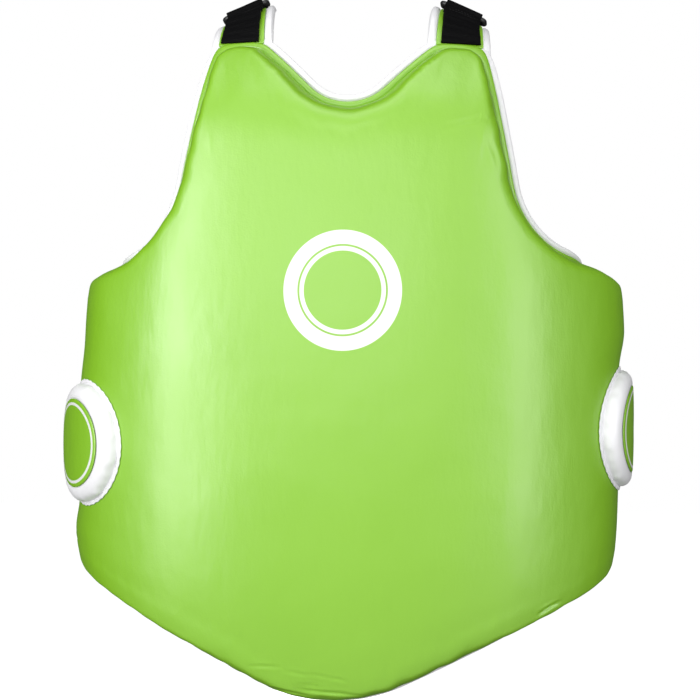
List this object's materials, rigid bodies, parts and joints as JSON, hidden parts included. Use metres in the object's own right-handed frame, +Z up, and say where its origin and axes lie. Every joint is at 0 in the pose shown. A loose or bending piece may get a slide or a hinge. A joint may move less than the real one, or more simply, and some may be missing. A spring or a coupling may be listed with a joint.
{
  "type": "belly pad",
  "caption": "Vest-shaped coach's belly pad: thick foam front in green vinyl on a white lining, raised round side targets, black elastic straps; worn over the torso to take kicks and punches.",
  "frame": {"origin": "middle of the line between the two shoulder crests, at the body side of the shoulder straps", "axes": "+Z up the wearer's body, -Y out of the front of the pad, +X to the wearer's left"},
  "size_m": [0.5259, 0.2711, 0.6387],
  "materials": {
    "green_vinyl": "glossy synthetic leather with a fine grain",
    "white_vinyl": "satin synthetic leather",
    "black_elastic": "ribbed satin elastic webbing",
    "black_plastic": "moulded, slightly glossy"
  },
  "bodies": {
    "root": {"front_pad": "green_vinyl", "shoulder_tab_left": "green_vinyl", "shoulder_tab_right": "green_vinyl", "target_face_left": "green_vinyl", "target_face_right": "green_vinyl", "back_panel": "white_vinyl", "side_target_left": "white_vinyl", "side_target_right": "white_vinyl", "shoulder_strap_left": "black_elastic", "shoulder_strap_right": "black_elastic", "back_strap_left": "black_elastic", "back_strap_right": "black_elastic", "back_belt": "black_elastic", "strap_ring_left": "black_plastic", "strap_ring_right": "black_plastic"}
  },
  "joints": []
}
